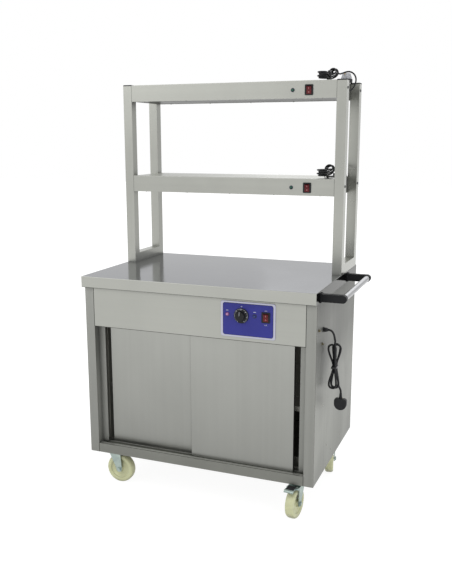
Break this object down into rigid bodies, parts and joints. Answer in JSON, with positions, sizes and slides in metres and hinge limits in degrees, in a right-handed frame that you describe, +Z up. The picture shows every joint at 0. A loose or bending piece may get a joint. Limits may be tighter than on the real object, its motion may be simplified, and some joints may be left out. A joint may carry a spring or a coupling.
{
  "type": "hostess trolley",
  "caption": "Mobile stainless steel hot cupboard with sliding doors, worktop, heated overshelf in tiers, push handle, swivel castors and mains leads tied in hanks.",
  "frame": {"origin": "On the floor, below the middle of the whole trolley without its leads", "axes": "+X to the right seen from the front, where the push handle is; +Y to the back, -Y is the side with the doors; +Z up"},
  "size_m": [1.1036, 0.7256, 1.7658],
  "materials": {
    "polished_steel": "polished",
    "steel": "satin",
    "bright_tube": "polished",
    "zinc": "zinc plated",
    "element": "dull, heat stained",
    "thermostat": "matt",
    "plate_border": "satin",
    "blue_panel": "printed film, satin",
    "lamp_lens": "gloss lens in a pale bezel",
    "black_plastic": "satin moulded",
    "red_rocker": "gloss",
    "brass": "plain",
    "nylon_wheel": "satin nylon",
    "cord": "satin sheath"
  },
  "bodies": {
    "cabinet": {"worktop": "polished_steel", "left_side_panel": "steel", "right_side_panel": "steel", "back_panel": "steel", "front_fascia": "steel", "top_door_guide": "steel", "bottom_rail": "steel", "liner_sides": "steel", "liner_back": "steel", "liner_top": "steel", "cupboard_floor": "steel", "castor_channels": "steel", "inner_shelf": "steel", "heating_element": "element", "element_guard": "steel", "control_plate": "plate_border", "control_overlay": "blue_panel", "thermostat_body": "thermostat", "pilot_lamps": "lamp_lens", "rocker_housings": "black_plastic", "cord_glands": "black_plastic", "earth_terminal": "brass", "handle_brackets": "black_plastic", "handle_tube": "bright_tube", "left_end_frame": "steel", "right_end_frame": "steel", "post_caps": "black_plastic", "top_shelf": "steel", "middle_shelf": "steel", "top_shelf_base": "steel", "middle_shelf_base": "steel", "shelf_heaters": "element", "assembly_bolts": "zinc", "castor_plates": "zinc", "main_cord": "cord", "main_hank": "cord", "main_plug": "cord", "top_cord": "cord", "top_hank": "cord", "top_plug": "cord", "middle_cord": "cord", "middle_hank": "cord", "middle_plug": "cord", "cord_ties": "black_plastic"},
    "right_door": {"right_door": "steel"},
    "left_door": {"left_door": "steel"},
    "thermostat_knob": {"thermostat_knob": "black_plastic"},
    "main_rocker": {"main_rocker": "red_rocker"},
    "top_rocker": {"top_rocker": "red_rocker"},
    "middle_rocker": {"middle_rocker": "red_rocker"},
    "front_left_fork": {"front_left_fork": "zinc"},
    "front_left_wheel": {"front_left_wheel": "nylon_wheel"},
    "front_right_fork": {"front_right_fork": "zinc"},
    "front_right_wheel": {"front_right_wheel": "nylon_wheel"},
    "front_brake_pedal": {"front_brake_pedal": "zinc"},
    "rear_left_fork": {"rear_left_fork": "zinc"},
    "rear_left_wheel": {"rear_left_wheel": "nylon_wheel"},
    "rear_right_fork": {"rear_right_fork": "zinc"},
    "rear_right_wheel": {"rear_right_wheel": "nylon_wheel"},
    "rear_brake_pedal": {"rear_brake_pedal": "zinc"}
  },
  "joints": [
    {"name": "right_door_slide", "type": "slide", "parent": "cabinet", "child": "right_door", "axis": [1, 0, 0], "range_m": [-0.395, 0.019]},
    {"name": "left_door_slide", "type": "slide", "parent": "cabinet", "child": "left_door", "axis": [1, 0, 0], "range_m": [-0.025, 0.407]},
    {"name": "thermostat_turn", "type": "hinge", "parent": "cabinet", "child": "thermostat_knob", "pos_m": [0.1518, -0.31775, 0.813], "axis": [0, 1, 0], "range_deg": [0, 300]},
    {"name": "main_switch_press", "type": "hinge", "parent": "cabinet", "child": "main_rocker", "pos_m": [0.2508, -0.31075, 0.813], "axis": [1, 0, 0], "range_deg": [-16, 0]},
    {"name": "top_switch_press", "type": "hinge", "parent": "cabinet", "child": "top_rocker", "pos_m": [0.2978, 0.06975, 1.673], "axis": [1, 0, 0], "range_deg": [-16, 0]},
    {"name": "middle_switch_press", "type": "hinge", "parent": "cabinet", "child": "middle_rocker", "pos_m": [0.2978, 0.06975, 1.282], "axis": [1, 0, 0], "range_deg": [-16, 0]},
    {"name": "front_left_swivel", "type": "hinge", "parent": "cabinet", "child": "front_left_fork", "pos_m": [-0.4702, -0.25525, 0.135], "axis": [0, 0, 1], "continuous": true},
    {"name": "front_left_roll", "type": "hinge", "parent": "front_left_fork", "child": "front_left_wheel", "pos_m": [-0.4322, -0.25525, 0.0625], "axis": [0, 1, 0], "continuous": true},
    {"name": "front_right_swivel", "type": "hinge", "parent": "cabinet", "child": "front_right_fork", "pos_m": [0.3738, -0.25525, 0.135], "axis": [0, 0, 1], "continuous": true},
    {"name": "front_right_roll", "type": "hinge", "parent": "front_right_fork", "child": "front_right_wheel", "pos_m": [0.36983, -0.29304, 0.0625], "axis": [0.9945, -0.1045, 0], "continuous": true},
    {"name": "front_brake_press", "type": "hinge", "parent": "front_right_fork", "child": "front_brake_pedal", "pos_m": [0.36753, -0.31492, 0.132], "axis": [0.9945, -0.1045, 0], "range_deg": [0, 18]},
    {"name": "rear_left_swivel", "type": "hinge", "parent": "cabinet", "child": "rear_left_fork", "pos_m": [-0.4862, 0.20675, 0.135], "axis": [0, 0, 1], "continuous": true},
    {"name": "rear_left_roll", "type": "hinge", "parent": "rear_left_fork", "child": "rear_left_wheel", "pos_m": [-0.44949, 0.19692, 0.0625], "axis": [0.2588, 0.9659, 0], "continuous": true},
    {"name": "rear_right_swivel", "type": "hinge", "parent": "cabinet", "child": "rear_right_fork", "pos_m": [0.3898, 0.20675, 0.135], "axis": [0, 0, 1], "continuous": true},
    {"name": "rear_right_roll", "type": "hinge", "parent": "rear_right_fork", "child": "rear_right_wheel", "pos_m": [0.39835, 0.16973, 0.0625], "axis": [0.9744, 0.225, 0], "continuous": true},
    {"name": "rear_brake_press", "type": "hinge", "parent": "rear_right_fork", "child": "rear_brake_pedal", "pos_m": [0.4033, 0.14829, 0.132], "axis": [0.9744, 0.225, 0], "range_deg": [0, 18]}
  ]
}
